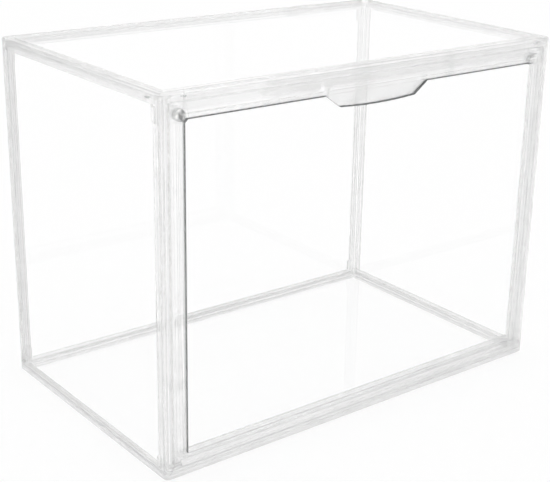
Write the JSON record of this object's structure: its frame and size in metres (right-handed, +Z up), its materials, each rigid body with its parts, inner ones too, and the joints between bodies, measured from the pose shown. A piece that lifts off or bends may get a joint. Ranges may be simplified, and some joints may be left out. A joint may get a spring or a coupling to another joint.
{
  "type": "clear display case with door",
  "caption": "Clear free-standing storage and display case of framed sheets, with a drop-down front door on corner pins, corner magnets and a moulded finger pull.",
  "frame": {"origin": "middle of the case's base, on the surface that it stands on", "axes": "+X to the right as one faces the door, +Y to the rear, +Z up; the door is on the -Y side"},
  "size_m": [0.36, 0.22, 0.27],
  "materials": {
    "moulded_clear": "clear, polished moulding",
    "sheet_clear": "clear, polished sheet",
    "magnet": "bright nickel plating",
    "keeper": "plain plated disc",
    "pin_clear": "clear, turned rod"
  },
  "bodies": {
    "case": {"bottom_rim": "moulded_clear", "top_rim": "moulded_clear", "front_left_post": "moulded_clear", "front_right_post": "moulded_clear", "rear_left_post": "moulded_clear", "rear_right_post": "moulded_clear", "floor_sheet": "sheet_clear", "top_sheet": "sheet_clear", "left_sheet": "sheet_clear", "right_sheet": "sheet_clear", "rear_sheet": "sheet_clear", "left_keeper": "keeper", "right_keeper": "keeper"},
    "door": {"door_frame": "moulded_clear", "door_sheet": "sheet_clear", "left_door_magnet": "magnet", "right_door_magnet": "magnet", "left_hinge_pin": "pin_clear", "right_hinge_pin": "pin_clear"}
  },
  "joints": [
    {"name": "door_hinge", "type": "hinge", "parent": "case", "child": "door", "pos_m": [0, -0.10725, 0.00935], "axis": [1, 0, 0], "range_deg": [0, 90]}
  ]
}
